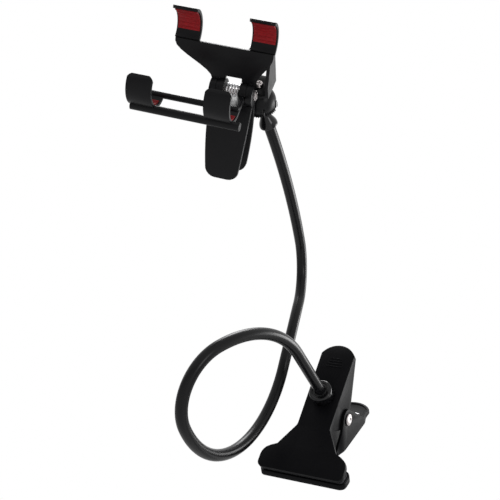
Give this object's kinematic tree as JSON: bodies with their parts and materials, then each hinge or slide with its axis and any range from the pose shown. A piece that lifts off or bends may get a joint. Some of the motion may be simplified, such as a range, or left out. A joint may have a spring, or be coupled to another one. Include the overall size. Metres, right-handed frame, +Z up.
{
  "type": "gooseneck phone holder",
  "caption": "Sprung desk clamp with a bendable gooseneck arm that ends in a ball joint and a sprung claw clip that grips a phone by its two long edges.",
  "frame": {"origin": "The middle of the clamp's grip, between the two rubber pads, 50 mm below the clamp's pivot.", "axes": "+X runs along the jaws, +Y backwards from the front jaw to the rear jaw, +Z up the front clamp plate towards its handle."},
  "size_m": [0.1111, 0.3234, 0.2227],
  "materials": {
    "clamp_plastic": "near-black satin plastic with a fine moulded grain",
    "clip_plastic": "dark grey-black satin plastic",
    "grey_rubber": "matte grooved rubber",
    "neck_sheath": "semi-gloss black sheath",
    "gloss_black": "polished black",
    "seat_plastic": "dull low-friction plastic",
    "red_rubber": "matte ribbed rubber",
    "bright_steel": "plain zinc-bright steel",
    "spring_steel": "drawn steel wire"
  },
  "bodies": {
    "clamp_and_arm": {"front_jaw": "clamp_plastic", "front_jaw_pad": "grey_rubber", "clamp_rivet": "bright_steel", "clamp_spring": "spring_steel", "neck_socket": "clamp_plastic", "socket_washer": "bright_steel", "socket_nut": "bright_steel", "gooseneck": "neck_sheath", "neck_ferrule": "bright_steel"},
    "rear_clamp": {"rear_jaw": "clamp_plastic", "rear_jaw_pad": "grey_rubber"},
    "ball": {"ball_stud": "gloss_black"},
    "seat": {"ball_seat": "seat_plastic"},
    "clip_back": {"clip_upper_jaw": "clip_plastic", "ball_cup": "clip_plastic", "cup_screw": "bright_steel", "clip_pin": "bright_steel", "clip_pin_cap": "bright_steel", "clip_spring": "spring_steel", "upper_left_pad": "red_rubber", "upper_right_pad": "red_rubber"},
    "clip_front": {"clip_lower_jaw": "clip_plastic", "lower_left_pad": "red_rubber", "lower_right_pad": "red_rubber"}
  },
  "joints": [
    {"name": "clamp_hinge", "type": "hinge", "parent": "clamp_and_arm", "child": "rear_clamp", "pos_m": [0, 0.01358, 0.05], "axis": [1, 0, 0], "range_deg": [0, 50], "stiffness_Nm_per_rad": 0.9, "springref_deg": -68.75, "deforming": ["clamp_spring"]},
    {"name": "stud_swivel", "type": "hinge", "parent": "clamp_and_arm", "child": "ball", "pos_m": [-0.02648, -0.16516, 0.17234], "axis": [0.0313, -0.9937, 0.1075], "continuous": true},
    {"name": "ball_tilt", "type": "hinge", "parent": "ball", "child": "seat", "pos_m": [-0.02582, -0.18603, 0.1746], "axis": [0.2648, 0.1119, 0.9578], "range_deg": [-46, 10]},
    {"name": "clip_spin", "type": "hinge", "parent": "seat", "child": "clip_back", "pos_m": [-0.02582, -0.18603, 0.1746], "axis": [-0.3276, 0.9446, -0.0198], "continuous": true},
    {"name": "clip_hinge", "type": "hinge", "parent": "clip_back", "child": "clip_front", "pos_m": [-0.03335, -0.2057, 0.16307], "axis": [0.9438, 0.3282, 0.0385], "range_deg": [-46, 15], "stiffness_Nm_per_rad": 0.2, "springref_deg": -91.67, "deforming": ["clip_spring"]}
  ]
}
